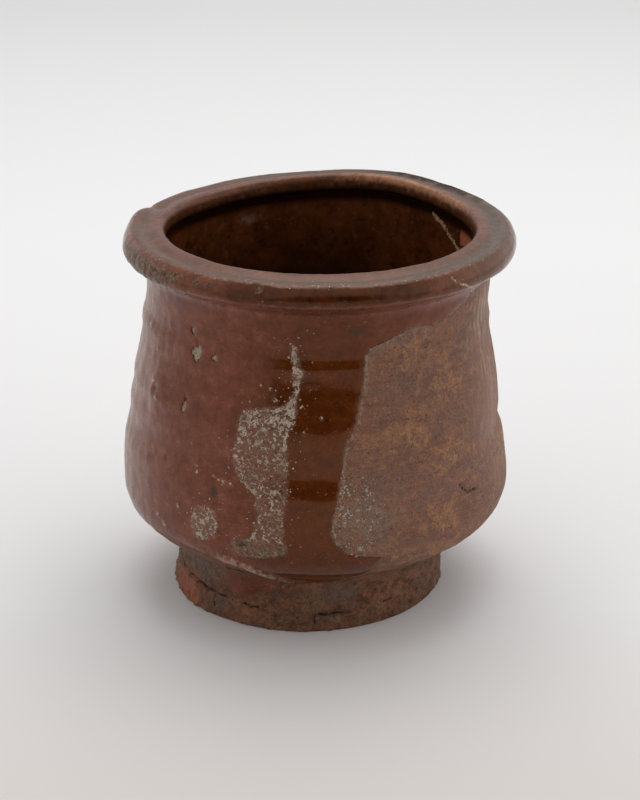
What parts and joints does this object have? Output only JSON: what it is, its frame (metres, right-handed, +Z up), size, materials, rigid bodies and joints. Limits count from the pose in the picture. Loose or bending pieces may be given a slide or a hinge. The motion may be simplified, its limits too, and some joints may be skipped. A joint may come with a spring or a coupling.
{
  "type": "earthenware ointment jar",
  "caption": "Small thrown earthenware jar with a flat everted rim, swelling belly and solid foot, lead-glazed inside and out, for holding ointment.",
  "frame": {"origin": "centre of the flat standing face under the foot", "axes": "+Z up along the jar, -Y towards the front, where the lime streak is; the rim leans a little towards +X"},
  "size_m": [0.0892, 0.088, 0.0846],
  "materials": {
    "earthenware": "matte fired red clay",
    "outer_glaze": "glossy red-brown lead glaze",
    "rim_glaze": "worn satin brown lead glaze",
    "inner_glaze": "glossy dark brown lead glaze",
    "lime_crust": "dry grainy whitish lime"
  },
  "bodies": {
    "root": {"clay_body": "earthenware", "inner_glaze": "inner_glaze", "rim_glaze": "rim_glaze", "outer_glaze": "outer_glaze", "foot_glaze_run": "outer_glaze", "lime_patch": "lime_crust", "lime_spot": "lime_crust", "lime_edge": "lime_crust"}
  },
  "joints": []
}
